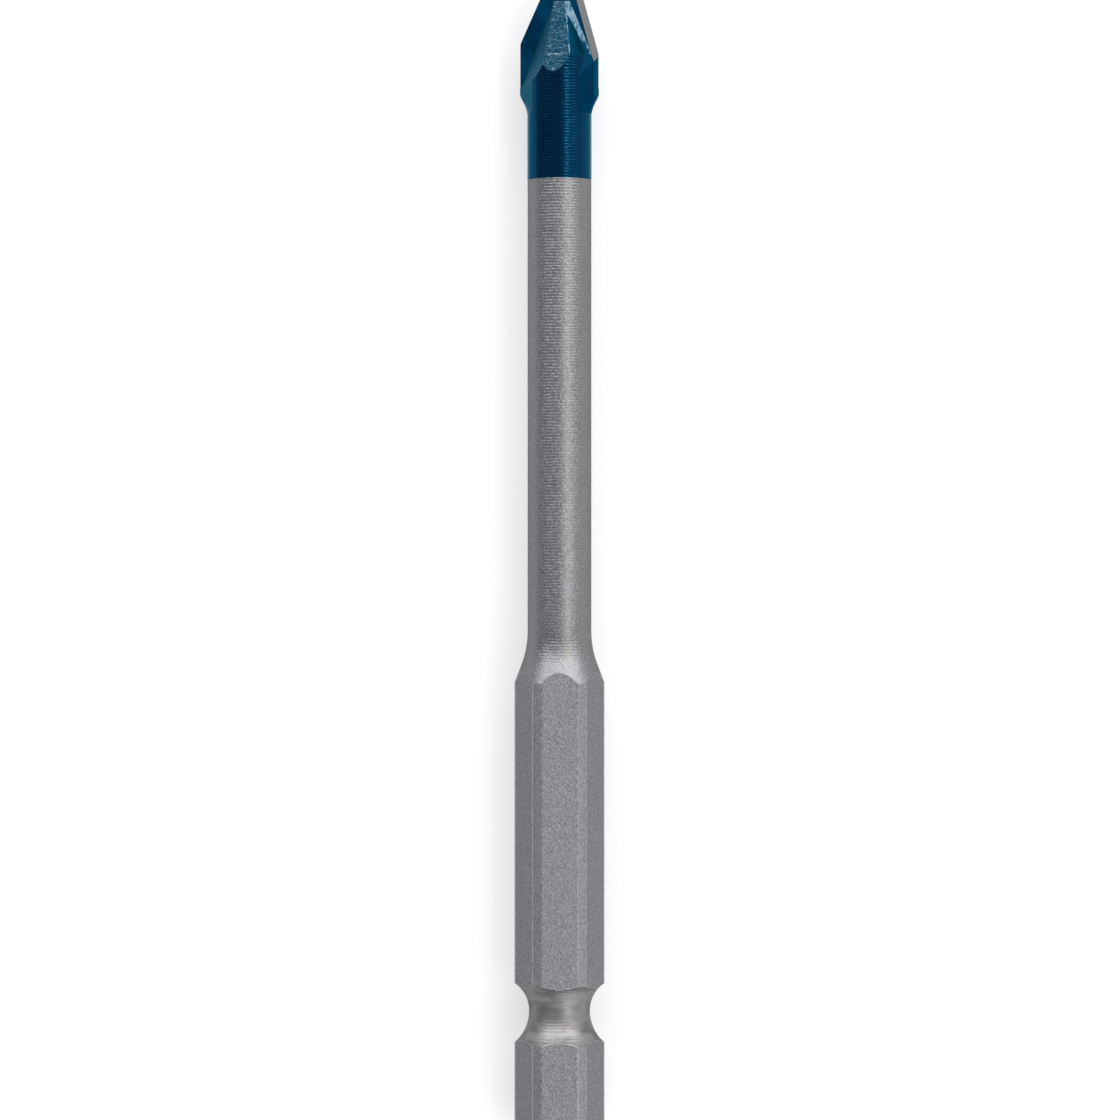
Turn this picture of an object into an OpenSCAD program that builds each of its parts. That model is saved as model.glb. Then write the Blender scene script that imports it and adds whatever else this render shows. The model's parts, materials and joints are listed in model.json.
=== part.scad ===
// Glass and tile drill bit with a quarter-inch hexagon power shank.
// A turned steel body carries a carbide plate brazed into a slot across its nose.
// The bit lies on a flat of the hexagon: its axis runs along Y, with the point towards +Y.

/* [Overall] */
// Length from the shank end to the point
total_length = 90.4; // [84:0.1:130]
// Length of the lacquered front end, from the point
lacquer_length = 16.6; // [13:0.1:30]

/* [Hexagon shank] */
// Width across the flats
hex_af = 6.35; // [5.8:0.05:8]
// Depth turned off each corner of the hexagon
corner_turn = 0.19; // [0.05:0.01:0.3]
// Length of the hexagon, measured at its corners
hex_length = 34.9; // [25:0.1:42]
// Chamfer round the shank end
end_chamfer = 0.6; // [0.2:0.05:1]

/* [Detent groove] */
// Distance from the shank end to the bottom of the groove
groove_at = 9.5; // [8:0.1:14]
// Depth of the groove below the flats
groove_depth = 0.82; // [0.4:0.02:1.1]
// Radius of the groove wall nearer the shank end
groove_rear_r = 3.3; // [2.4:0.1:4]
// Radius of the groove wall nearer the point
groove_front_r = 2.6; // [2:0.1:4]

/* [Shaft] */
// Diameter of the round shaft
shaft_d = 4.94; // [4.2:0.02:5.4]
// Angle of the flare from the axis
flare_angle = 20.5; // [15:0.5:35]
// Radius of the fillet between flare and shaft
flare_fillet = 7.2; // [3:0.1:10]

/* [Nose] */
// Length from the point back to the start of the tapered nose
nose_length = 7.05; // [6.4:0.05:8]
// Angle of the nose cone from the axis
nose_angle = 19; // [17:0.5:24]
// Distance from the point at which the ground flats run out on the plate
flat_end = 2.8; // [2.4:0.05:3.2]
// Angle of the ground flats from the axis
flat_angle = 17.6; // [16:0.2:20]
// Angle of the short facet in which each flat runs out on the shaft
runout_angle = 14; // [8:0.5:15]
// Distance from the point at which the chip facets start on the shaft
chip_start = 8.85; // [8.4:0.05:9.4]
// Angle of the chip facets from the axis
chip_angle = 16; // [14:0.5:18]
// Bearing of the chip facets from the plate
chip_bearing = 42; // [38:1:48]

/* [Carbide plate] */
// Cutting diameter
head_d = 6.13; // [5.7:0.01:6.3]
// Thickness of the plate
plate_t = 1.6; // [1.2:0.05:2]
// Length of the plate from the point to its foot
plate_length = 11.2; // [10:0.1:12.5]
// Length of the slope on the plate's lower corners
plate_slope = 1.0; // [0.5:0.1:1.5]
// Turn of the plate about the axis, from the flats of the hexagon
plate_turn = 12; // [0:1:25]
// Angle of the long cutting edge from the axis
edge_angle = 24.3; // [20:0.1:30]
// Angle of the short cutting edge from the axis
point_angle = 32; // [28:0.5:38]
// Angle of the steep flank outside the short edge, from the axis
flank_angle = 15.5; // [12:0.5:20]
// Distance from the point at which the steep flank starts
flank_start = 2.55; // [2:0.05:3]
// Clearance ground behind each cutting edge
clearance_angle = 10; // [5:0.5:15]
// Relief of the plate's sides behind each cutting corner
side_relief = 3; // [1:0.5:6]

/* [Braze] */
// Thickness of the braze between plate and slot
braze_gap = 0.08; // [0.04:0.01:0.15]
// Width of the braze fillet on the face of the plate
braze_leg = 0.5; // [0.2:0.05:0.55]
// Angle by which the braze fillets dip in from the tangent of the shaft
braze_dip = 3; // [2:0.5:6]
// Radius of the braze fillet under the plate's lower corners
braze_foot_r = 2.4; // [1:0.1:3]

/* [Hidden] */

$fn = 96;
arc_steps = 12;
steel_grey = "#9c9ea2";
lacquer_blue = "#0b3f61";
carbide_grey = "#828487";

// Reach of a cutting block, past every surface that it cuts
reach = 2 * total_length;

hex_corner_d = hex_af / cos(30) - 2 * corner_turn;
hex_corner_r = hex_corner_d / 2;
shaft_r = shaft_d / 2;
head_r = head_d / 2;
half_plate = plate_t / 2;
half_slot = half_plate + braze_gap;
corner_x = sqrt(head_r * head_r - half_plate * half_plate);

groove_r = hex_af / 2 - groove_depth;
nose_at = total_length - nose_length;
plate_foot = total_length - plate_length;
flat_end_at = total_length - flat_end;
chip_at = total_length - chip_start;
lacquer_at = total_length - lacquer_length;

// Where the cone is thinner than the plate, the slot leaves nothing of it
nose_top_r = half_plate / 2;
nose_top = nose_at + (shaft_r - nose_top_r) / tan(nose_angle);

// Centre of the fillet that is tangent to the flare and to the shaft
fillet_r = shaft_r + flare_fillet;
fillet_at = hex_length
    + (flare_fillet - (fillet_r - hex_corner_r) * cos(flare_angle)) / sin(flare_angle);

// Slope of the plate's lower corners, and the foot of the braze arc that leads from the shaft to it
slope_angle = atan((corner_x - shaft_r) / plate_slope);
braze_foot_at = plate_foot - braze_foot_r * tan(slope_angle / 2);

// The arc stops short of the slope and runs straight on into the plate, inside its relieved sides
foot_turn = slope_angle - braze_dip;
foot_end = [shaft_r + braze_foot_r * (1 - cos(foot_turn)), braze_foot_at + braze_foot_r * sin(foot_turn)];
braze_r = corner_x - plate_t * tan(side_relief) - braze_gap;

// Half width of the body, at radius r, where it meets the face of the plate
function meeting_x(r) = sqrt(r * r - half_plate * half_plate);

// Edge on the plate, and bearing, of a braze fillet face that dips into the body at radius r
function seam_x(r) = meeting_x(r) + braze_leg;
function seam_bearing(r) =
    atan2(half_plate, seam_x(r)) + acos(r / norm([seam_x(r), half_plate])) + braze_dip;

// Rise of a fillet face whose edge follows the line in which the nose cone meets the plate
function seam_rise(r) = atan(r / meeting_x(r) * tan(nose_angle) * cos(seam_bearing(r)));

// Radii of the nose cone at which it has a fillet face of its own
seam_radii = [0.75 * shaft_r, 0.55 * shaft_r];
bar_y = shaft_r * sin(seam_bearing(shaft_r));

// Lay the tool down on a flat: its axis goes to Y and its front face to +Z
module lay_down()
    translate([0, -total_length / 2, hex_af / 2]) rotate([-90, 0, 0]) children();

// Turn a shape from the flats of the hexagon to the plate
module along_plate()
    rotate(-plate_turn) children();

// Everything outside a plane through a point, with its normal at a bearing and a rise
module beyond(point, bearing, rise)
    translate(point) rotate([0, -rise, bearing])
        translate([0, -reach / 2, -reach / 2]) cube(reach);

// Points of an arc in the profile, from one angle to another
function arc(centre, r, from, to) = [
    for (i = [0 : arc_steps])
        let (a = from + (to - from) * i / arc_steps)
            centre + r * [cos(a), sin(a)]
];

// Angle at which a groove wall of radius r comes out at the turned corners
function groove_exit(r) = acos(1 - (hex_corner_r - groove_r) / r);

// Half section of the turned body, from the shank end to the top of the nose
module turned_profile()
    polygon(concat(
        [[0, 0], [hex_corner_r - end_chamfer, 0], [hex_corner_r, end_chamfer]],
        arc([groove_r + groove_rear_r, groove_at], groove_rear_r, 180 + groove_exit(groove_rear_r), 180),
        arc([groove_r + groove_front_r, groove_at], groove_front_r, 180, 180 - groove_exit(groove_front_r)),
        [[hex_corner_r, hex_length]],
        arc([fillet_r, fillet_at], flare_fillet, 180 + flare_angle, 180),
        [[shaft_r, nose_at], [nose_top_r, nose_top], [0, nose_top]]
    ));

// Both ground flats on the nose, with the facets in which they run out
module nose_flats()
    for (side = [0, 180]) rotate(side) {
        beyond([0, -half_plate, flat_end_at], -90, flat_angle);
        beyond([0, -half_plate - (flat_end_at - nose_at) * tan(flat_angle), nose_at], -90, runout_angle);
    }

// Facets ground on the body beside the leading half of each face of the plate
module chip_facets()
    for (side = [0, 180]) rotate(side)
        beyond([shaft_r * cos(chip_bearing), shaft_r * sin(chip_bearing), chip_at], chip_bearing, chip_angle);

// The body before it is slotted
module solid_body()
    difference() {
        intersection() {
            rotate_extrude() turned_profile();
            cylinder(h = total_length, d = hex_af / cos(30), $fn = 6);
        }
        along_plate() {
            nose_flats();
            chip_facets();
        }
    }

module slot()
    along_plate()
        translate([-head_d, -half_slot, plate_foot - braze_gap])
            cube([2 * head_d, 2 * half_slot, plate_length]);

module slotted_body()
    difference() {
        solid_body();
        slot();
    }

// The plate before it is ground: a flat bar with sloped lower corners that end at the shaft
module plate_blank()
    rotate([90, 0, 0]) linear_extrude(plate_t, center = true)
        polygon([
            [-shaft_r, plate_foot], [shaft_r, plate_foot], [corner_x, plate_foot + plate_slope],
            [corner_x, total_length], [-corner_x, total_length], [-corner_x, plate_foot + plate_slope]
        ]);

// Relief on both sides of the plate, behind the cutting corners
module relieved_sides()
    for (side = [0, 180]) rotate(side)
        beyond([corner_x, half_plate, 0], -side_relief, 0);

// Flanks ground on the point. The cutting edges lead in a right-hand turn.
module flanks() {
    point = [0, 0, total_length];
    steep_x = flank_start * tan(point_angle);
    beyond(point, 180 - clearance_angle, edge_angle);
    beyond(point, -clearance_angle, point_angle);
    beyond([steep_x, 0, total_length - flank_start], -clearance_angle, flank_angle);
}

module plate()
    along_plate()
        difference() {
            plate_blank();
            relieved_sides();
            flanks();
        }

module steel_shank()
    lay_down() {
        color(steel_grey) difference() {
            slotted_body();
            translate([0, 0, lacquer_at]) cylinder(h = total_length, r = hex_af);
        }
        color(lacquer_blue) intersection() {
            slotted_body();
            translate([0, 0, lacquer_at]) cylinder(h = total_length, r = hex_af);
        }
    }

module carbide_tip()
    color(carbide_grey) lay_down() plate();

// Sloped corners and foot of the braze, in an arc from the shaft to the plate's slope
module braze_blank()
    rotate_extrude()
        polygon(concat(
            [[0, braze_foot_at]],
            arc([shaft_r + braze_foot_r, braze_foot_at], braze_foot_r, 180, 180 - foot_turn),
            [[braze_r, foot_end[1] + (braze_r - foot_end[0]) / tan(foot_turn)],
             [braze_r, total_length], [0, total_length]]
        ));

// Space in which the braze stands: a bar along the plate, with a straight fillet to each face.
// It stops a little short of all the ground faces.
module braze_bar()
    difference() {
        translate([-head_d, -bar_y, 0]) cube([2 * head_d, 2 * bar_y, total_length]);
        for (x = [0, 1], y = [0, 1]) mirror([x, 0, 0]) mirror([0, y, 0]) {
            beyond([seam_x(shaft_r), half_plate, 0], seam_bearing(shaft_r), 0);
            for (r = seam_radii)
                beyond([seam_x(r), half_plate, nose_at + (shaft_r - r) / tan(nose_angle)],
                       seam_bearing(r), seam_rise(r));
        }
        translate([0, 0, -braze_gap]) {
            nose_flats();
            chip_facets();
            flanks();
        }
    }

module braze_seam()
    color(lacquer_blue) lay_down() difference() {
        intersection() {
            braze_blank();
            along_plate() braze_bar();
        }
        slotted_body();
        plate();
    }

steel_shank();
carbide_tip();
braze_seam();
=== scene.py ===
import json
import math

import bpy
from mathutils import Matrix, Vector

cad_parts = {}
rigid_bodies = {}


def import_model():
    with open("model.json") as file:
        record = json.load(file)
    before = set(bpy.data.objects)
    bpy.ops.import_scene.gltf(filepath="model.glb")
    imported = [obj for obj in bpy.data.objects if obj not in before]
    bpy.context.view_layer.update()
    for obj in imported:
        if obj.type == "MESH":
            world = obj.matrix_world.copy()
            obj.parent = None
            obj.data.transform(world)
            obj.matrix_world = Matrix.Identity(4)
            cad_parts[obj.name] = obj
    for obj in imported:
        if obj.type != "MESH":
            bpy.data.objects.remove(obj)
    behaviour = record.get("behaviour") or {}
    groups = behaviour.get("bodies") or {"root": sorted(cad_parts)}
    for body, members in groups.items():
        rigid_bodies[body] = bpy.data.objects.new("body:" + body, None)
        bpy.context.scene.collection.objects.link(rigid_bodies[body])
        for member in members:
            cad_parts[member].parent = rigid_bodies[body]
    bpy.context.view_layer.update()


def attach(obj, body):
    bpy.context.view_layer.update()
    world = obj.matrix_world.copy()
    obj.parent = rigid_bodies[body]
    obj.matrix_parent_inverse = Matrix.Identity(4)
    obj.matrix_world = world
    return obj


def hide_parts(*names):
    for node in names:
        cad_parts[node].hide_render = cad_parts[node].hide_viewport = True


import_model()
mm = 0.001
cutWithin = 1e-8  # metres, for a saw cut
mergeWithin = 1e-7  # metres, for doubled points

# the whole bit, in millimetres from the shank end
bit = {
    "length": 90.4,
    "axisHeight": 3.175,  # half the hexagon, which lies on a flat
    "shaftRadius": 2.47,
    "plateTurn": 12,  # degrees, right end up
    "halfPlate": 0.8,
    "segments": 192,
}
axisHeight = bit["axisHeight"] * mm
bitFoot = -bit["length"] / 2

# limits by which faces and edges are told apart, as shares of a direction unless a unit is given
tell = {
    "lengthwise": 0.9,  # edges along the bit
    "hexFlat": 0.99999,
    "sloped": 0.1,
    "level": 0.01,
    "flankRise": 0.15,
    "plateFace": 0.99,
    "plateEnd": 0.3,
    "groundEnd": 0.05,
    "coneRise": 0.08,
    "notLeading": -0.05,
    "sameFacing": 1,  # degrees
    "filletFace": (0.2, 0.97),
    "filletBend": (2, 30),  # degrees between two faces
    "filletArea": 0.2,  # square millimetres
}


def dropSelection():
    if bpy.context.object and bpy.context.object.mode != "OBJECT":
        bpy.ops.object.mode_set(mode="OBJECT")
    for piece in bpy.context.view_layer.objects:
        piece.select_set(False)
    bpy.context.view_layer.objects.active = None


def along(millimetres):
    return (bitFoot + millimetres) * mm  # distance from the shank end, as a place on Y


def outward(angle, rise=0):
    # angle from straight up to the right of the picture, and rise towards the point
    turn, lift = math.radians(angle), math.radians(rise)
    return Vector((math.cos(lift) * math.sin(turn), math.sin(lift), math.cos(lift) * math.cos(turn)))


def turnRings(name, rings):
    # a disc at the first ring, drawn out and resized ring by ring, as on a lathe
    dropSelection()
    firstPlace, radius = rings[0]
    bpy.ops.mesh.primitive_circle_add(vertices=bit["segments"], radius=radius * mm, fill_type="NGON",
                                      location=(0, along(firstPlace), axisHeight),
                                      rotation=(-math.pi / 2, 0, 0))
    piece = bpy.context.object
    piece.name = name
    bpy.ops.object.transform_apply(location=True, rotation=True, scale=True)
    bpy.ops.object.mode_set(mode="EDIT")
    bpy.ops.mesh.select_all(action="SELECT")
    place = firstPlace
    for nextPlace, nextRadius in rings[1:]:
        bpy.ops.mesh.extrude_region_move(TRANSFORM_OT_translate={"value": (0, (nextPlace - place) * mm, 0)})
        share = nextRadius / radius
        bpy.ops.transform.resize(value=(share, 1, share), center_override=(0, along(nextPlace), axisHeight))
        place, radius = nextPlace, nextRadius
    bpy.ops.mesh.select_all(action="SELECT")
    bpy.ops.mesh.normals_make_consistent(inside=False)
    return piece


def sliceOff(angle, rise, distance, place):
    # saw off everything outside a plane, and close the cut
    bpy.ops.mesh.select_all(action="SELECT")
    point = outward(angle) * distance * mm + Vector((0, along(place), axisHeight))
    bpy.ops.mesh.bisect(plane_co=point, plane_no=outward(angle, rise), use_fill=True,
                        clear_outer=True, threshold=cutWithin)


def roundStretch(middle, radius, fromAngle, toAngle, steps=14):
    # rings along an arc of the half section: middle is (place, radius) of its centre
    rings = []
    for step in range(steps + 1):
        turn = math.radians(fromAngle + (toAngle - fromAngle) * step / steps)
        rings.append((middle[0] + radius * math.sin(turn), middle[1] - radius * math.cos(turn)))
    return rings


def finishPiece(piece, smoothAngle):
    bpy.ops.mesh.select_all(action="SELECT")
    bpy.ops.mesh.remove_doubles(threshold=mergeWithin)
    bpy.ops.mesh.normals_make_consistent(inside=False)
    bpy.ops.object.mode_set(mode="OBJECT")
    bpy.ops.object.shade_smooth_by_angle(angle=math.radians(smoothAngle))


# turned steel body

shank = {
    "flats": 6.35,
    "cornerTurn": 0.19,
    "hexLength": 34.9,
    "endChamfer": 0.6,
    "grooveAt": 9.5,
    "grooveDepth": 0.82,
    "grooveRear": 3.3,
    "grooveFront": 2.6,
    "flareAngle": 20.5,
    "flareFillet": 7.2,
    "lacquerAt": 73.8,
    "lacquerCoat": 0.02,
    "coatEdge": 0.06,
    "noseAt": 83.35,
    "noseAngle": 19,
    "noseTopRadius": 0.4,
    "flatEnd": 87.6,
    "flatAngle": 17.6,
    "runoutAngle": 14,
    "chipAt": 81.55,
    "chipAngle": 16,
    "chipBearing": 42,
    "paleStreakAt": 86.6,  # from here up, the trailing side has braze streaks and a painted highlight
    "wearAndHighlight": 0.035,
    "rubAndHighlight": 0.025,
    "cornerRound": 0.12,
    "cornerSteps": 4,
    "ringPitch": 0.235,
    "smoothAngle": 14,
}


def shankRings():
    corner = shank["flats"] / 2 / math.cos(math.radians(30)) - shank["cornerTurn"]
    groove = shank["flats"] / 2 - shank["grooveDepth"]
    shaft = bit["shaftRadius"]
    coated = shaft + shank["lacquerCoat"]
    rings = [(0, corner - shank["endChamfer"]), (shank["endChamfer"], corner)]
    for radius, side in ((shank["grooveRear"], -1), (shank["grooveFront"], 1)):
        leave = math.degrees(math.acos(1 - (corner - groove) / radius))
        ends = (-leave, 0) if side < 0 else (0, leave)
        rings += roundStretch((shank["grooveAt"], groove + radius), radius, *ends)[side > 0:]
    rings.append((shank["hexLength"], corner))
    flare, fillet = math.radians(shank["flareAngle"]), shank["flareFillet"]
    filletAt = shank["hexLength"] + (fillet - (shaft + fillet - corner) * math.cos(flare)) / math.sin(flare)
    rings += roundStretch((filletAt, shaft + fillet), fillet, -shank["flareAngle"], 0)
    rings += [(shank["lacquerAt"], shaft), (shank["lacquerAt"] + shank["coatEdge"], coated)]
    top = shank["noseAt"] + (shaft - shank["noseTopRadius"]) / math.tan(math.radians(shank["noseAngle"]))
    rings += [(shank["noseAt"], coated), (top, shank["noseTopRadius"])]
    return rings


def sliceNose(inset=0):
    # ground flats with their run-outs, and the chip facets, front and back
    noseDrop = (shank["flatEnd"] - shank["noseAt"]) * math.tan(math.radians(shank["flatAngle"]))
    for side in (0, 180):
        front = side - bit["plateTurn"]
        chip = front - 90 + shank["chipBearing"]
        sliceOff(front, shank["flatAngle"], bit["halfPlate"] - inset, shank["flatEnd"])
        sliceOff(front, shank["runoutAngle"], bit["halfPlate"] + noseDrop - inset, shank["noseAt"])
        sliceOff(chip, shank["chipAngle"], bit["shaftRadius"] - inset, shank["chipAt"])


def markAcross(place):
    # an edge round the piece, where one finish ends and the next begins
    bpy.ops.mesh.select_all(action="SELECT")
    bpy.ops.mesh.bisect(plane_co=(0, along(place), axisHeight), plane_no=(0, 1, 0), threshold=cutWithin)


steelBody = turnRings("steel_body", shankRings())
for flat in range(6):
    sliceOff(60 * flat, 0, shank["flats"] / 2, 0)
sliceNose()
markAcross(shank["paleStreakAt"])
finishPiece(steelBody, shank["smoothAngle"])
print("steel body:", len(steelBody.data.polygons), "faces")

# carbide plate across the nose

plate = {
    "headRadius": 3.065,
    "foot": 79.2,
    "slope": 1.0,
    "edgeRound": 0.14,
    "edgeSteps": 6,
    "edgeAngle": 24.3,
    "pointAngle": 32,
    "flankAngle": 15.5,
    "flankStart": 2.55,
    "clearance": 10,
    "relief": 3,
    "smoothAngle": 20,
}
cornerAt = math.sqrt(plate["headRadius"] ** 2 - bit["halfPlate"] ** 2)  # cutting corner, along the plate
plateSlope = math.degrees(math.atan((cornerAt - bit["shaftRadius"]) / plate["slope"]))


def flatBar(name, fromPlace, toPlace):
    dropSelection()
    size = (2 * cornerAt * mm, (toPlace - fromPlace) * mm, 2 * bit["halfPlate"] * mm)
    bpy.ops.mesh.primitive_cube_add(size=1, location=(0, along((fromPlace + toPlace) / 2), axisHeight),
                                    rotation=(0, math.radians(-bit["plateTurn"]), 0), scale=size)
    piece = bpy.context.object
    piece.name = name
    bpy.ops.object.transform_apply(location=True, rotation=True, scale=True)
    bpy.ops.object.mode_set(mode="EDIT")
    return piece


def roundLongEdges(piece):
    bpy.ops.mesh.select_mode(type="EDGE")
    bpy.ops.mesh.select_all(action="DESELECT")
    bpy.ops.object.mode_set(mode="OBJECT")
    corners = piece.data.vertices
    for edge in piece.data.edges:
        run = corners[edge.vertices[0]].co - corners[edge.vertices[1]].co
        edge.select = abs(run.y) > tell["lengthwise"] * run.length
    bpy.ops.object.mode_set(mode="EDIT")
    bpy.ops.mesh.bevel(offset=plate["edgeRound"] * mm, segments=plate["edgeSteps"], affect="EDGES")


def sliceSides(inset=0):
    # relief behind each cutting corner
    relief = math.radians(plate["relief"])
    for right in (90 - bit["plateTurn"], 270 - bit["plateTurn"]):
        sliceOff(right - plate["relief"], 0,
                 cornerAt * math.cos(relief) - bit["halfPlate"] * math.sin(relief) - inset, 0)


def sliceLowerCorners():
    # three cuts on each side, so that the corners stay inside the braze round them
    corner = math.degrees(math.atan2(bit["halfPlate"], cornerAt))
    for right in (90 - bit["plateTurn"], 270 - bit["plateTurn"]):
        for turn in (-corner, 0, corner):
            sliceOff(right + turn, -plateSlope, bit["shaftRadius"], plate["foot"])


def slicePoint(lower=0):
    # ground flanks, which lean back from the cutting edges
    top = bit["length"] - lower
    left = -90 - bit["plateTurn"] - plate["clearance"]
    right = 90 - bit["plateTurn"] - plate["clearance"]
    steep = plate["flankStart"] * math.tan(math.radians(plate["pointAngle"]))
    sliceOff(left, plate["edgeAngle"], 0, top)
    sliceOff(right, plate["pointAngle"], 0, top)
    sliceOff(right, plate["flankAngle"], steep * math.cos(math.radians(plate["clearance"])),
             top - plate["flankStart"])


carbidePlate = flatBar("carbide_plate", plate["foot"], bit["length"])
sliceSides()
sliceLowerCorners()
roundLongEdges(carbidePlate)
slicePoint()
finishPiece(carbidePlate, plate["smoothAngle"])
print("carbide plate:", len(carbidePlate.data.polygons), "faces")

# braze round the plate

braze = {
    "gap": 0.08,
    "dip": 0.3,
    "footRadius": 2.4,
    "shoulderRadius": 1.2,
    "cover": 0.02,  # thickness over the plate's lower corners
    "under": 0.01,  # depth below the ground faces of the body
    "soften": 0.15,
    "softenSteps": 4,
    "smoothAngle": 18,
    # share of the shaft's radius that a fillet face follows, and its width on the plate
    "seams": ((1, 0.52), (0.88, 0.54), (0.75, 0.52), (0.55, 0.26)),
}


def brazeRings():
    # hollow foot on the shaft, then a round shoulder over the plate's lower corners
    shaft, foot, shoulder = bit["shaftRadius"], braze["footRadius"], braze["shoulderRadius"]
    half = math.tan(math.radians(plateSlope / 2))
    lift = braze["cover"] / math.sin(math.radians(plateSlope))
    outer = plate["headRadius"] + braze["cover"]
    shoulderAt = plate["foot"] - lift + (outer - shaft) / math.tan(math.radians(plateSlope)) + shoulder * half
    rings = roundStretch((plate["foot"] - lift - foot * half, shaft + foot), foot, 0, plateSlope)
    rings += roundStretch((shoulderAt, outer - shoulder), shoulder, 180 + plateSlope, 180)
    rings.append((bit["length"], outer))
    return rings


def sliceSeams():
    # fillet faces along the shaft, then along the cone of the nose, on both sides of the plate
    shaft, half = bit["shaftRadius"] + shank["lacquerCoat"], bit["halfPlate"]
    taper = math.tan(math.radians(shank["noseAngle"]))
    for share, leg in braze["seams"]:
        radius = share * shaft
        meet = math.sqrt(radius ** 2 - half ** 2)
        edge = meet + leg
        reach = math.hypot(edge, half)
        bearing = math.degrees(math.atan2(half, edge) + math.acos(radius / reach)) + braze["dip"]
        distance = edge * math.cos(math.radians(bearing)) + half * math.sin(math.radians(bearing))
        rise = 0
        if share < 1:
            rise = math.degrees(math.atan(radius / meet * taper * math.cos(math.radians(bearing))))
        place = shank["noseAt"] + (shaft - radius) / taper
        for side in (0, 180):
            front = side - bit["plateTurn"]
            for angle in (front + 90 - bearing, front - 90 + bearing):
                sliceOff(angle, rise, distance, place)
        if share == 1:
            for side in (0, 180):
                sliceOff(side - bit["plateTurn"], 0, shaft * math.sin(math.radians(bearing)), 0)


brazeFill = turnRings("braze_fill", brazeRings())
sliceSeams()
sliceSides(inset=-braze["cover"])
sliceNose(inset=braze["under"])
slicePoint(lower=braze["gap"])
finishPiece(brazeFill, braze["smoothAngle"])
print("braze:", len(brazeFill.data.polygons), "faces")

# materials, all metallic, with colour and roughness that follow a noise in the piece's own space
# cells: how many cells of the noise to the metre along X, Y and Z
# tones: the colour at some values of the noise, and roughness: at its low and at its high end
# rim: the tint where the surface turns away, and bump: its depth in metres and its strength
# rings: how uneven the turned rings are, and how soon they break off

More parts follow.
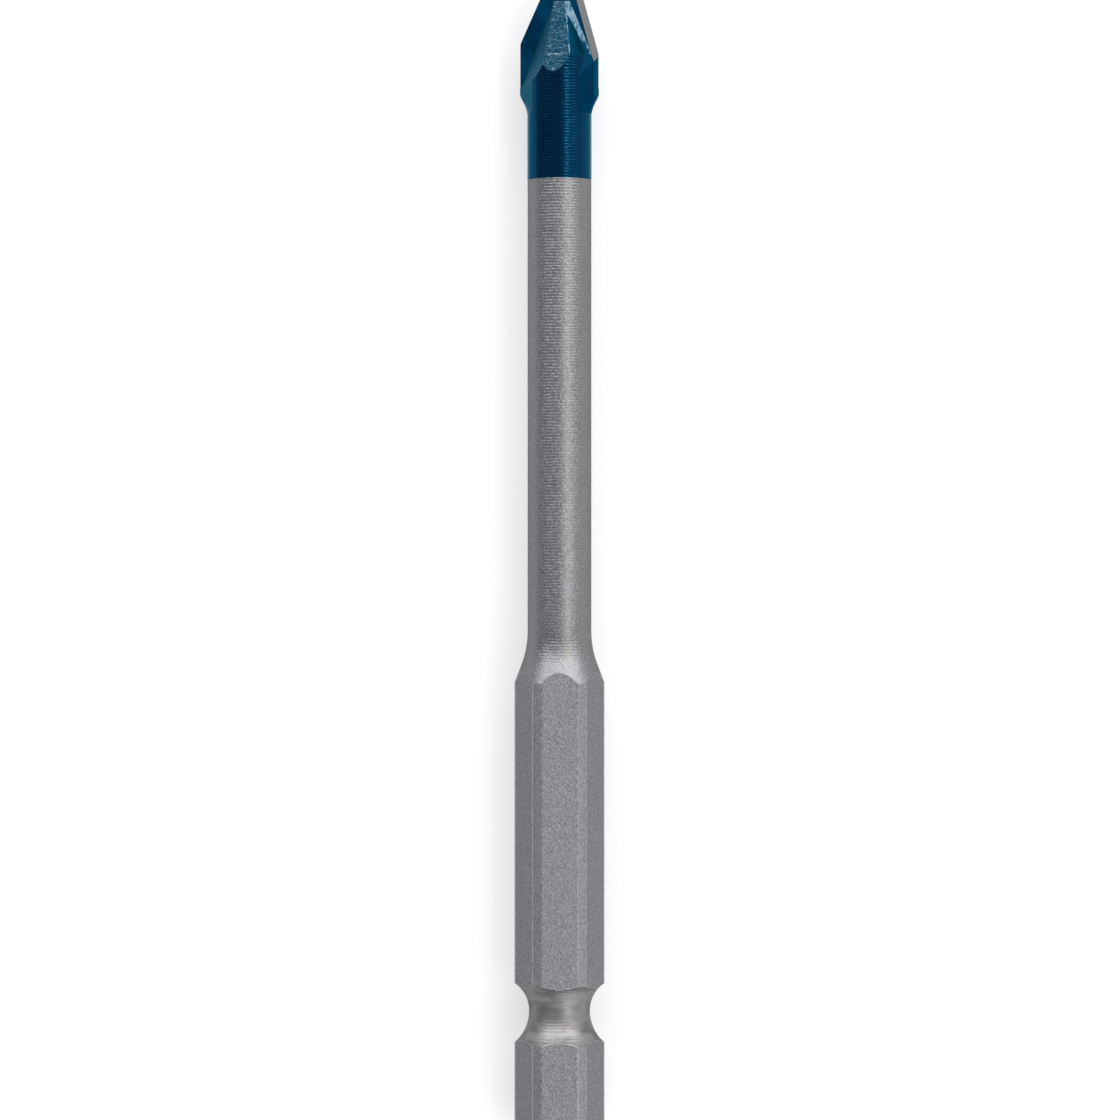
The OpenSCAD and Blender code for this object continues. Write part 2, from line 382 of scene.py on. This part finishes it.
finishes = {
    "blasted_steel": {
        "cells": (6200, 6200, 6200),
        "detail": 3,
        "tones": ((0.3, (0.168, 0.17, 0.18)), (0.5, (0.218, 0.221, 0.232)), (0.7, (0.27, 0.273, 0.284))),
        "patches": (900, 500, 900),  # cells of a second noise, for the roughness alone
        "patchDetail": 4,
        "roughness": (0.62, 0.54),
        "rim": (0.6, 0.6, 0.6),
        "bump": (8e-5, 0.8),
    },
    "turned_steel": {
        "cells": (6000, 6500, 6000),
        "detail": 2,
        "tones": ((0.3, (0.165, 0.166, 0.173)), (0.7, (0.243, 0.245, 0.254))),
        "roughness": (0.36, 0.44),
        "rim": (0.6, 0.6, 0.6),
        "bump": (5e-5, 0.5),
        "rings": (3, 0.35),
        "ringBump": (1.5e-5, 0.9),
        "ringFade": (1, 5),  # millimetres past the hexagon, from no rings to full ones
    },
    # rubbed metal on the edges of the hexagon, lighter than the blasted steel also as a painted highlight
    "rubbed_steel_and_highlight": {
        "cells": (3000, 3000, 3000),
        "detail": 3,
        "tones": ((0.35, (0.22, 0.22, 0.225)), (0.65, (0.345, 0.345, 0.35))),
        "roughness": (0.34, 0.46),
    },
    "groove_steel": {
        "cells": (500, 900, 500),
        "detail": 5,
        "tones": ((0.36, (0.152, 0.143, 0.146)), (0.5, (0.222, 0.217, 0.215)), (0.64, (0.248, 0.245, 0.24))),
        "roughness": (0.5, 0.42),
        "rim": (0.6, 0.6, 0.6),
        "streaks": (700, 7500, 700),
        "streakDetail": 3,
        "bump": (3e-5, 0.7),
        "rings": (4, 1),
        "ringBump": (5e-6, 1),
    },
    "blue_lacquer": {
        "cells": (500, 260, 500),
        "detail": 3,
        "tones": ((0.35, (0.0005, 0.031, 0.079)), (0.65, (0.0008, 0.038, 0.09))),
        "roughness": (0.17, 0.2),
        "rim": (0.5, 0.75, 0.82),
        "skin": 0.055,
        "skinRoughness": 0.08,
        "rings": (5, 1),
        "ringBump": (9e-6, 1),
    },
    # a lighter copy of the lacquer, as painted light on the plate's front and back faces
    "plate_lacquer_lit": {
        "cells": (700, 350, 700),
        "detail": 4,
        "tones": ((0.35, (0.0008, 0.043, 0.105)), (0.65, (0.0012, 0.064, 0.138))),
        "roughness": (0.3, 0.42),
        "bump": (2e-5, 0.4),
    },
    "ground_lacquer": {
        "cells": (2300, 6500, 2300),
        "detail": 4,
        "distortion": 1.2,
        "tones": ((0.38, (0.0025, 0.033, 0.062)), (0.6, (0.029, 0.082, 0.12)), (0.7, (0.15, 0.23, 0.265))),
        "roughness": (0.32, 0.46),
        "bump": (1e-4, 0.9),
    },
    "braze_lacquer": {
        "cells": (900, 500, 900),
        "detail": 4,
        "tones": ((0.35, (0.0005, 0.03, 0.073)), (0.65, (0.0007, 0.037, 0.086))),
        "roughness": (0.22, 0.32),
        "rim": (0.22, 0.5, 0.6),
        "bump": (2e-5, 0.4),
    },
    "nose_lacquer_shaded": {  # on the cone, duller, and darker than on the shaft as painted shade
        "cells": (1200, 500, 1200),
        "detail": 4,
        "tones": ((0.35, (0.0008, 0.023, 0.047)), (0.65, (0.0014, 0.029, 0.058))),
        "roughness": (0.4, 0.48),
        "rim": (0.1, 0.5, 0.65),
        "bump": (2e-5, 0.4),
    },
    "lacquer_with_painted_reflection": {  # on the leading side of the nose, dull, and lighter as a painted reflection
        "cells": (1500, 600, 1500),
        "detail": 4,
        "tones": ((0.35, (0.004, 0.078, 0.138)), (0.65, (0.008, 0.1, 0.165))),
        "roughness": (0.48, 0.58),
        "bump": (2e-5, 0.5),
    },
    "streaked_braze_and_highlight": {  # on the trailing side of the nose: streaks of braze, and pale streaks that are a painted highlight of the fillet
        "cells": (4500, 1300, 4500),
        "detail": 5,
        "distortion": 0.8,
        "tones": ((0.36, (0.0009, 0.02, 0.045)), (0.48, (0.07, 0.13, 0.175)), (0.68, (0.115, 0.18, 0.23))),
        "roughness": (0.34, 0.5),
        "bump": (3e-5, 0.5),
        # the lacquer covers the braze, and the painted highlight fades out, inside a slanting border, in
        # millimetres from the axis
        "borderAt": 85.45,
        "borderAside": 1.04,
        "borderSlant": 0.75,
        "borderFade": (-0.4, 0.3),
        "borderShift": (-0.28, 0.04),  # added to the noise inside and outside the border
    },
    # worn paint along the trailing edges of the ground flats, and a pale band there that is a painted
    # highlight
    "worn_edge_and_highlight": {
        "cells": (2500, 2500, 2500),
        "detail": 4,
        "tones": ((0.42, (0.0025, 0.041, 0.082)), (0.56, (0.1, 0.165, 0.205)), (0.7, (0.28, 0.28, 0.34))),
        "roughness": (0.3, 0.5),
    },
    "ground_carbide": {
        "cells": (900, 6000, 900),
        "detail": 3,
        "tones": ((0.3, (0.128, 0.134, 0.138)), (0.7, (0.164, 0.171, 0.177))),
        "roughness": (0.46, 0.56),
        "bump": (6e-6, 0.4),
    },
}
noiseEnds = (0.3, 0.7)  # values that a noise seldom passes
ringDetail = 3  # finer and finer breaks in the rings
ringGrit = 0.6  # how strong the finer ones are


def newMaterial(name):
    made = bpy.data.materials.new(name)
    made.use_nodes = True
    return made, made.node_tree.nodes["Principled BSDF"]


def addNode(made, kind, inputs=None, **settings):
    added = made.node_tree.nodes.new(kind)
    for name, value in settings.items():
        setattr(added, name, value)
    for name, value in (inputs or {}).items():
        added.inputs[name].default_value = value
    return added


def join(made, fromSocket, toSocket):
    made.node_tree.links.new(fromSocket, toSocket)


def speckle(made, cells, detail, distortion=0):
    place = addNode(made, "ShaderNodeTexCoord")
    stretch = addNode(made, "ShaderNodeMapping", {"Scale": cells})
    noise = addNode(made, "ShaderNodeTexNoise", {"Scale": 1, "Detail": detail, "Distortion": distortion})
    join(made, place.outputs["Object"], stretch.inputs["Vector"])
    join(made, stretch.outputs[0], noise.inputs["Vector"])
    return noise.outputs["Fac"]


def colourBy(made, amount, stops):
    ramp = addNode(made, "ShaderNodeValToRGB")
    elements = ramp.color_ramp.elements
    while len(elements) < len(stops):
        elements.new(1)
    for element, (position, colour) in zip(elements, stops):
        element.position = position
        element.color = (*colour, 1)
    join(made, amount, ramp.inputs["Fac"])
    return ramp.outputs["Color"]


def spread(made, amount, fromEnds, toEnds):
    reach = addNode(made, "ShaderNodeMapRange", {"From Min": fromEnds[0], "From Max": fromEnds[1],
                                                 "To Min": toEnds[0], "To Max": toEnds[1]})
    join(made, amount, reach.inputs["Value"])
    return reach.outputs["Result"]


def roughen(made, height, distance, strength, under=None):
    bump = addNode(made, "ShaderNodeBump", {"Strength": strength, "Distance": distance})
    join(made, height, bump.inputs["Height"])
    if under:
        join(made, under, bump.inputs["Normal"])
    return bump.outputs["Normal"]


def turnedRings(made, unevenness, broken):
    # fine rings round the bit, one every ringPitch
    place = addNode(made, "ShaderNodeTexCoord")
    wave = addNode(made, "ShaderNodeTexWave", {
        "Scale": math.pi / (10 * shank["ringPitch"] * mm),  # a wave repeats every pi / (10 * scale)
        "Distortion": unevenness,
        "Detail": ringDetail,
        "Detail Scale": broken,
        "Detail Roughness": ringGrit,
    }, wave_type="BANDS", bands_direction="Y")
    join(made, place.outputs["Object"], wave.inputs["Vector"])
    return wave.outputs["Fac"]


def startFinish(name, tint=None):
    # tint changes the noise before the colour is read from it
    look = finishes[name]
    made, shader = newMaterial(name)
    noise = speckle(made, look["cells"], look["detail"], look.get("distortion", 0))
    tinted = tint(made, look, noise) if tint else noise
    join(made, colourBy(made, tinted, look["tones"]), shader.inputs["Base Color"])
    patches = speckle(made, look["patches"], look["patchDetail"]) if "patches" in look else noise
    join(made, spread(made, patches, noiseEnds, look["roughness"]), shader.inputs["Roughness"])
    shader.inputs["Metallic"].default_value = 1
    if "rim" in look:
        shader.inputs["Specular Tint"].default_value = (*look["rim"], 1)
    return made, shader, noise


def plainFinish(name, tint=None):
    made, shader, noise = startFinish(name, tint)
    if "bump" in finishes[name]:
        join(made, roughen(made, noise, *finishes[name]["bump"]), shader.inputs["Normal"])
    return made


def turnedFinish(name):
    # rings on the shaft, which run out in the grain of the flare
    look = finishes[name]
    made, shader, grain = startFinish(name)
    place = addNode(made, "ShaderNodeTexCoord")
    split = addNode(made, "ShaderNodeSeparateXYZ")
    cut = addNode(made, "ShaderNodeMath", operation="MULTIPLY")
    fadeEnds = [along(shank["hexLength"] + past) for past in look["ringFade"]]
    join(made, place.outputs["Object"], split.inputs[0])
    join(made, turnedRings(made, *look["rings"]), cut.inputs[0])
    join(made, spread(made, split.outputs["Y"], fadeEnds, (0, 1)), cut.inputs[1])
    grained = roughen(made, grain, *look["bump"])
    join(made, roughen(made, cut.outputs[0], *look["ringBump"], under=grained), shader.inputs["Normal"])
    return made


def grooveFinish(name):
    # smooth, with faint stains, streaks and fine rings
    look = finishes[name]
    made, shader, _ = startFinish(name)
    streaked = roughen(made, speckle(made, look["streaks"], look["streakDetail"]), *look["bump"])
    rings = turnedRings(made, *look["rings"])
    join(made, roughen(made, rings, *look["ringBump"], under=streaked), shader.inputs["Normal"])
    return made


def lacquerFinish(name):
    # clear skin over the colour, and both follow the rings of the steel below
    look = finishes[name]
    made, shader, _ = startFinish(name)
    shader.inputs["Coat Weight"].default_value = look["skin"]
    shader.inputs["Coat Roughness"].default_value = look["skinRoughness"]
    skin = roughen(made, turnedRings(made, *look["rings"]), *look["ringBump"])
    join(made, skin, shader.inputs["Normal"])
    join(made, skin, shader.inputs["Coat Normal"])
    return made


def fadePaleStreaks(made, look, streaks):
    # less and less braze and painted highlight show through the lacquer down its fillet
    place = addNode(made, "ShaderNodeTexCoord")
    split = addNode(made, "ShaderNodeSeparateXYZ")
    aside = addNode(made, "ShaderNodeMath", operation="ABSOLUTE")
    slant = addNode(made, "ShaderNodeMath", {1: look["borderSlant"]}, operation="MULTIPLY_ADD")
    bare = addNode(made, "ShaderNodeMath", operation="ADD")
    border = look["borderAside"] * mm + look["borderSlant"] * along(look["borderAt"])
    fadeEnds = [border + beyond * mm for beyond in look["borderFade"]]
    join(made, place.outputs["Object"], split.inputs[0])
    join(made, split.outputs["X"], aside.inputs[0])
    join(made, split.outputs["Y"], slant.inputs[0])
    join(made, aside.outputs[0], slant.inputs[2])
    join(made, streaks, bare.inputs[0])
    join(made, spread(made, slant.outputs[0], fadeEnds, look["borderShift"]), bare.inputs[1])
    return bare.outputs[0]


blastedSteel = plainFinish("blasted_steel")
turnedSteel = turnedFinish("turned_steel")
rubbedSteelAndHighlight = plainFinish("rubbed_steel_and_highlight")
grooveSteel = grooveFinish("groove_steel")
lacquer = lacquerFinish("blue_lacquer")
plateLacquerLit = plainFinish("plate_lacquer_lit")
groundLacquer = plainFinish("ground_lacquer")
brazeLacquer = plainFinish("braze_lacquer")
noseLacquerShaded = plainFinish("nose_lacquer_shaded")
paintedReflectionLacquer = plainFinish("lacquer_with_painted_reflection")
streakedBrazeAndHighlight = plainFinish("streaked_braze_and_highlight", fadePaleStreaks)
wornEdgeAndHighlight = plainFinish("worn_edge_and_highlight")
carbide = plainFinish("ground_carbide")
print("materials:", len(finishes))

# finishes on the pieces


def paint(piece, looks, choose):
    for look in looks:
        piece.data.materials.append(look)
    for face in piece.data.polygons:
        face.material_index = looks.index(choose(face))


def frontShare(normal):
    return normal.dot(outward(-bit["plateTurn"]))  # how far it faces as the front of the plate does


def rightShare(normal):
    return normal.dot(outward(90 - bit["plateTurn"]))  # how far it faces along the plate


def trailShare(normal):
    return frontShare(normal) * rightShare(normal)  # above 0 behind the cutting edges, below 0 before them


def facing(face, angle, rise):
    # on the nose, front or back, since it is the same on both sides
    onNose = face.center.y > along(shank["lacquerAt"])
    sides = [outward(angle + side, rise) for side in (0, 180)]
    return onNose and any(face.normal.angle(side) < math.radians(tell["sameFacing"]) for side in sides)


def onFlat(face):
    return max(abs(face.normal.dot(outward(60 * side))) for side in range(3)) > tell["hexFlat"]


def bodyFinish(face):
    place = face.center.y
    if any(facing(face, -bit["plateTurn"], shank[angle]) for angle in ("flatAngle", "runoutAngle")):
        return groundLacquer
    if facing(face, shank["chipBearing"] - 90 - bit["plateTurn"], shank["chipAngle"]):
        return paintedReflectionLacquer
    # the trailing side of the point: braze streaks and a painted highlight
    if place > along(shank["paleStreakAt"]) and trailShare(face.normal) > 0:
        return streakedBrazeAndHighlight
    if place > along(shank["noseAt"]):
        return noseLacquerShaded
    if place > along(shank["lacquerAt"]):
        return lacquer
    if place > along(shank["hexLength"]):
        return turnedSteel
    inGroove = abs(place - along(shank["grooveAt"])) < shank["grooveRear"] * mm
    return grooveSteel if inGroove and not onFlat(face) else blastedSteel


def plateFinish(face):
    if face.normal.y > tell["flankRise"]:
        return carbide  # ground flanks
    # the front and back faces take the lighter copy as painted light
    return plateLacquerLit if abs(frontShare(face.normal)) > tell["plateFace"] else brazeLacquer


def brazeFinish(face):
    if abs(frontShare(face.normal)) < tell["plateEnd"]:
        return brazeLacquer
    if abs(rightShare(face.normal)) < tell["groundEnd"]:
        return streakedBrazeAndHighlight  # ends of the fillets, ground with the flats
    if trailShare(face.normal) < 0:
        return paintedReflectionLacquer  # leading side, lighter as a painted reflection
    # faces that rise towards the point: braze streaks and a painted highlight
    return streakedBrazeAndHighlight if face.normal.y > tell["coneRise"] else brazeLacquer


def chamfer(piece, wanted, width, steps, look=None):
    # along every edge that wanted() picks from its two faces, in their own finish unless one is given
    dropSelection()
    bpy.context.view_layer.objects.active = piece
    piece.select_set(True)
    bpy.ops.object.mode_set(mode="EDIT")
    bpy.ops.mesh.select_mode(type="EDGE")
    bpy.ops.mesh.select_all(action="DESELECT")
    bpy.ops.object.mode_set(mode="OBJECT")
    beside = {}
    for face in piece.data.polygons:
        for key in face.edge_keys:
            beside.setdefault(key, []).append(face)
    for edge in piece.data.edges:
        edge.select = len(beside[edge.key]) == 2 and wanted(*beside[edge.key])
    bpy.ops.object.mode_set(mode="EDIT")
    finish = piece.data.materials.find(look.name) if look else -1
    bpy.ops.mesh.bevel(offset=width * mm, segments=steps, affect="EDGES", material=finish)
    bpy.ops.object.mode_set(mode="OBJECT")


def onHexagon(face):
    return onFlat(face) and face.center.y < along(shank["hexLength"])


def archEdge(one, other):
    # where a flat ends at the flare or at the groove
    slope = max(abs(one.normal.y), abs(other.normal.y))
    return onHexagon(one) != onHexagon(other) and slope > tell["sloped"]


def cornerEdge(one, other):
    slope = max(abs(one.normal.y), abs(other.normal.y))
    return onHexagon(one) != onHexagon(other) and slope < tell["level"]


def filletEdge(one, other):
    # between two faces of one braze fillet
    shares = [share(face.normal) for share in (frontShare, rightShare) for face in (one, other)]
    least, most = tell["filletFace"]
    leastBend, mostBend = tell["filletBend"]
    bend = math.degrees(one.normal.angle(other.normal))
    large = min(one.area, other.area) > tell["filletArea"] * mm * mm
    return large and leastBend < bend < mostBend and all(least < abs(share) < most for share in shares)


def trailingEdge(one, other):
    # trailing edge and lower end of each ground flat
    flats = [facing(face, -bit["plateTurn"], shank["flatAngle"]) for face in (one, other)]
    if flats[0] == flats[1]:
        return False
    return trailShare((other if flats[0] else one).normal) > tell["notLeading"]


paint(steelBody, [blastedSteel, turnedSteel, grooveSteel, lacquer, groundLacquer, paintedReflectionLacquer, wornEdgeAndHighlight,
                  rubbedSteelAndHighlight, streakedBrazeAndHighlight, noseLacquerShaded], bodyFinish)
# a narrow band along the trailing edges of the ground flats: worn paint and a painted highlight
chamfer(steelBody, trailingEdge, shank["wearAndHighlight"], 1, wornEdgeAndHighlight)
# the arches and corners of the hexagon: rubbed metal and a painted highlight
chamfer(steelBody, archEdge, shank["rubAndHighlight"], 1, rubbedSteelAndHighlight)
chamfer(steelBody, cornerEdge, shank["cornerRound"], shank["cornerSteps"], rubbedSteelAndHighlight)
bpy.ops.object.shade_smooth_by_angle(angle=math.radians(shank["smoothAngle"]))
paint(carbidePlate, [brazeLacquer, carbide, plateLacquerLit], plateFinish)
paint(brazeFill, [brazeLacquer, paintedReflectionLacquer, streakedBrazeAndHighlight], brazeFinish)
chamfer(brazeFill, filletEdge, braze["soften"], braze["softenSteps"])
bpy.ops.object.shade_smooth_by_angle(angle=math.radians(braze["smoothAngle"]))
print("edges are softened and finishes are on")

# fit to the frame

for piece, node, slot in ((steelBody, "steel_shank", "shank_steel"),
                          (carbidePlate, "carbide_tip", "tip_carbide"),
                          (brazeFill, "braze_seam", "blue_lacquer")):
    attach(piece, "root")
    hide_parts(node)

# floor, light and camera

studio = {
    "floorSize": 3.0,  # metres
    "floorShade": 0.4,
    "floorLift": 0.5,  # strength of its glow
    "skyX": (  # left to right
        (0, (0.46, 0.48, 0.53)),
        (0.07, (0.31, 0.32, 0.36)),
        (0.5, (0.34, 0.345, 0.39)),
        (1, (0.92, 0.92, 0.92)),
    ),
    "skyY": (  # shank end to point
        (0, (1.3, 1.3, 1.3)),
        (0.45, (0, 0, 0)),
        (0.61, (0, 0, 0)),
        (1, (0.78, 0.78, 0.78)),
    ),
    "lights": {  # place and size in metres, power in watts
        "strip": {
            "place": (0.26, -0.2, 0.46),
            "size": (0.25, 0.22),
            "power": 0.7,
            "colour": (1, 1, 1),
        },
        "spark": {  # small and warm, for the ring marks of the lacquer
            "place": (0.24, 0.19, 0.45),
            "size": (0.045, 0.16),
            "power": 0.2,
            "colour": (1, 0.95, 0.68),
        },
        "tipBox": {
            "place": (0.02, 0.46, 0.40),
            "size": (1.5, 0.38),
            "power": 5.8,
            "colour": (1, 1, 1),
        },
    },
}


def makeFloor():
    # takes the shadow, and glows only where the camera or the metal sees it
    dropSelection()
    bpy.ops.mesh.primitive_plane_add(size=studio["floorSize"], location=(0, 0, 0))
    floor = bpy.context.object
    floor.name = "floor"
    made, shader = newMaterial("pale_floor")
    made.node_tree.nodes.remove(shader)
    shade, lift = studio["floorShade"], studio["floorLift"]
    path = addNode(made, "ShaderNodeLightPath")
    seen = addNode(made, "ShaderNodeMath", operation="MAXIMUM")
    plain = addNode(made, "ShaderNodeBsdfDiffuse", {"Color": (shade, shade, shade, 1)})
    glow = addNode(made, "ShaderNodeEmission", {"Color": (1, 1, 1, 1), "Strength": lift})
    both = addNode(made, "ShaderNodeAddShader")
    mix = addNode(made, "ShaderNodeMixShader")
    join(made, path.outputs["Is Camera Ray"], seen.inputs[0])
    join(made, path.outputs["Is Glossy Ray"], seen.inputs[1])
    join(made, plain.outputs[0], both.inputs[0])
    join(made, glow.outputs[0], both.inputs[1])
    join(made, seen.outputs[0], mix.inputs[0])
    join(made, plain.outputs[0], mix.inputs[1])
    join(made, both.outputs[0], mix.inputs[2])
    join(made, mix.outputs[0], made.node_tree.nodes["Material Output"].inputs["Surface"])
    floor.data.materials.append(made)


def makeWorld():
    # dim on the left and overhead, pale on the right and beyond both ends of the bit
    # white where the camera looks past the floor
    world = bpy.data.worlds.new("studio")
    bpy.context.scene.world = world
    world.use_nodes = True
    back = world.node_tree.nodes["Background"]
    where = addNode(world, "ShaderNodeTexCoord")
    split = addNode(world, "ShaderNodeSeparateXYZ")
    join(world, where.outputs["Generated"], split.inputs[0])
    shades = []
    for axis in "XY":
        side = spread(world, split.outputs[axis], (-1, 1), (0, 1))
        shades.append(colourBy(world, side, studio["sky" + axis]))
    total = addNode(world, "ShaderNodeMix", data_type="RGBA", blend_type="ADD")
    total.inputs["Factor"].default_value = 1
    join(world, shades[0], total.inputs["A"])
    join(world, shades[1], total.inputs["B"])
    path = addNode(world, "ShaderNodeLightPath")
    mix = addNode(world, "ShaderNodeMix", data_type="RGBA")
    mix.inputs["B"].default_value = (1, 1, 1, 1)
    join(world, path.outputs["Is Camera Ray"], mix.inputs["Factor"])
    join(world, total.outputs["Result"], mix.inputs["A"])
    join(world, mix.outputs["Result"], back.inputs["Color"])


def makeLight(name):
    light = studio["lights"][name]
    dropSelection()
    bpy.ops.object.light_add(type="AREA", location=light["place"])
    lamp = bpy.context.object
    lamp.name = name
    lamp.data.shape = "RECTANGLE"
    lamp.data.size, lamp.data.size_y = light["size"]
    lamp.data.energy = light["power"]
    lamp.data.color = light["colour"]
    aim = Vector((0, 0, axisHeight)) - lamp.location
    lamp.rotation_euler = aim.to_track_quat("-Z", "Y").to_euler()


view = {  # millimetres
    "above": (0.04, -0.81),  # the point in the middle of the picture
    "height": 320.8,
    "lens": 131.8,
    "sensor": 36,
    "nearest": 10,
}


def makeCamera():
    dropSelection()
    bpy.ops.object.camera_add(location=(view["above"][0] * mm, view["above"][1] * mm, view["height"] * mm),
                              rotation=(0, 0, 0))
    camera = bpy.context.object
    camera.data.lens = view["lens"]
    camera.data.sensor_width = view["sensor"]
    camera.data.clip_start = view["nearest"] * mm
    bpy.context.scene.camera = camera


makeFloor()
makeWorld()
for name in studio["lights"]:
    makeLight(name)
makeCamera()
bpy.context.scene.view_settings.view_transform = "Standard"
print("floor, light and camera are set")
